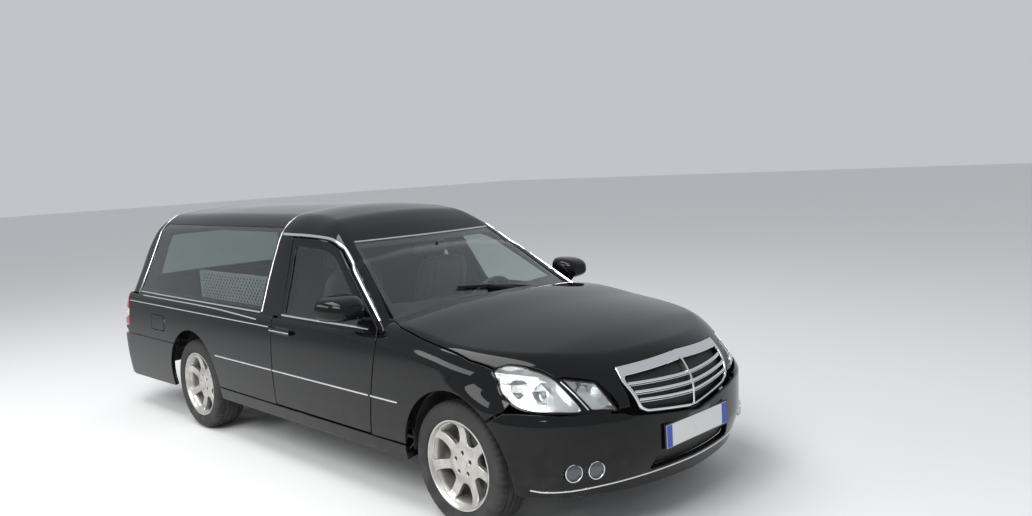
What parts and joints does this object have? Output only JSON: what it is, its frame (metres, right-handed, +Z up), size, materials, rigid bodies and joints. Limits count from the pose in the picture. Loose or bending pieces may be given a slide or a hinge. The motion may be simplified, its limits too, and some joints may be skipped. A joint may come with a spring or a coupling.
{
  "type": "hearse",
  "caption": "Two-door estate-based hearse with glazed load space, hinged doors, bonnet and tailgate, steering and turning wheels.",
  "frame": {"origin": "on the ground under the middle of the overall length", "axes": "+X towards the nose, +Y to the left, +Z up"},
  "size_m": [5.0498, 2.136, 1.5718],
  "materials": {
    "black_paint": "high gloss",
    "chrome": "polished",
    "clear_glass": "clear, slightly green",
    "lamp_glass": "clear lens over bright reflector",
    "red_lens": "red lens",
    "alloy": "silver lacquer",
    "tyre": "matt black rubber",
    "black_plastic": "grained",
    "underbody": "matt undercoat",
    "bare_steel": "machined and dull",
    "cast_metal": "rough",
    "seat_cloth": "grey woven cloth",
    "cabin_plastic": "soft grained",
    "deck_finish": "brushed",
    "trim_panel": "pale lattice"
  },
  "bodies": {
    "root": {"dashboard": "cabin_plastic", "engine_block": "cast_metal", "exhaust": "bare_steel", "firewall": "underbody", "fixed_glass": "clear_glass", "floor": "underbody", "front_axle": "cast_metal", "front_bumper": "black_paint", "front_fenders": "black_paint", "headlights": "lamp_glass", "interior_mirror": "cabin_plastic", "load_deck": "deck_finish", "partition": "trim_panel", "radiator": "black_plastic", "rear_axle": "cast_metal", "rear_bumper": "black_paint", "roof": "black_paint", "seats": "seat_cloth", "side_panels": "black_paint", "sills": "black_paint", "tail_lamps": "red_lens", "wheelhouses": "black_plastic", "wiper": "black_plastic"},
    "bonnet": {"bonnet_panel": "black_paint", "grille": "chrome"},
    "tailgate": {"tailgate": "black_paint", "tailgate_glass": "clear_glass"},
    "fuel_flap": {"fuel_flap": "black_paint"},
    "steering_wheel": {"steering_wheel": "cabin_plastic"},
    "knuckle_left": {"knuckle_left": "cast_metal"},
    "knuckle_right": {"knuckle_right": "cast_metal"},
    "door_left": {"door_left": "black_paint", "door_glass_left": "clear_glass", "door_mirror_left": "black_paint"},
    "door_right": {"door_right": "black_paint", "door_glass_right": "clear_glass", "door_mirror_right": "black_paint"},
    "wheel_front_left": {"rim_front_left": "alloy", "tyre_front_left": "tyre"},
    "wheel_front_right": {"rim_front_right": "alloy", "tyre_front_right": "tyre"},
    "wheel_rear_left": {"rim_rear_left": "alloy", "tyre_rear_left": "tyre"},
    "wheel_rear_right": {"rim_rear_right": "alloy", "tyre_rear_right": "tyre"}
  },
  "joints": [
    {"name": "bonnet_hinge", "type": "hinge", "parent": "root", "child": "bonnet", "pos_m": [1.172, 0, 1.02], "axis": [0, -1, 0], "range_deg": [0, 55]},
    {"name": "tailgate_hinge", "type": "hinge", "parent": "root", "child": "tailgate", "pos_m": [-2.224, 0, 1.455], "axis": [0, 1, 0], "range_deg": [0, 80]},
    {"name": "fuel_flap_hinge", "type": "hinge", "parent": "root", "child": "fuel_flap", "pos_m": [-1.622, -0.897, 0.737], "axis": [0, 0, 1], "range_deg": [0, 95]},
    {"name": "door_hinge_left", "type": "hinge", "parent": "root", "child": "door_left", "pos_m": [0.99, 0.892, 0.65], "axis": [0, 0, -1], "range_deg": [0, 65]},
    {"name": "door_hinge_right", "type": "hinge", "parent": "root", "child": "door_right", "pos_m": [0.99, -0.892, 0.65], "axis": [0, 0, 1], "range_deg": [0, 65]},
    {"name": "steering_turn", "type": "hinge", "parent": "root", "child": "steering_wheel", "pos_m": [0.64, 0.37, 0.88], "axis": [-0.8988, 0, 0.4384], "range_deg": [-525, 525]},
    {"name": "kingpin_left", "type": "hinge", "parent": "root", "child": "knuckle_left", "pos_m": [1.685, 0.69, 0.325], "axis": [0, 0, 1], "range_deg": [-35, 35]},
    {"name": "kingpin_right", "type": "hinge", "parent": "root", "child": "knuckle_right", "pos_m": [1.685, -0.69, 0.325], "axis": [0, 0, 1], "range_deg": [-35, 35]},
    {"name": "spin_front_left", "type": "hinge", "parent": "knuckle_left", "child": "wheel_front_left", "pos_m": [1.685, 0.766, 0.325], "axis": [0, 1, 0], "continuous": true},
    {"name": "spin_front_right", "type": "hinge", "parent": "knuckle_right", "child": "wheel_front_right", "pos_m": [1.685, -0.766, 0.325], "axis": [0, 1, 0], "continuous": true},
    {"name": "spin_rear_left", "type": "hinge", "parent": "root", "child": "wheel_rear_left", "pos_m": [-1.169, 0.77, 0.325], "axis": [0, 1, 0], "continuous": true},
    {"name": "spin_rear_right", "type": "hinge", "parent": "root", "child": "wheel_rear_right", "pos_m": [-1.169, -0.77, 0.325], "axis": [0, 1, 0], "continuous": true}
  ],
  "couplings": [
    {"joint": "kingpin_right", "follows": "kingpin_left", "ratio": 1},
    {"joint": "steering_turn", "follows": "kingpin_left", "ratio": 15}
  ]
}
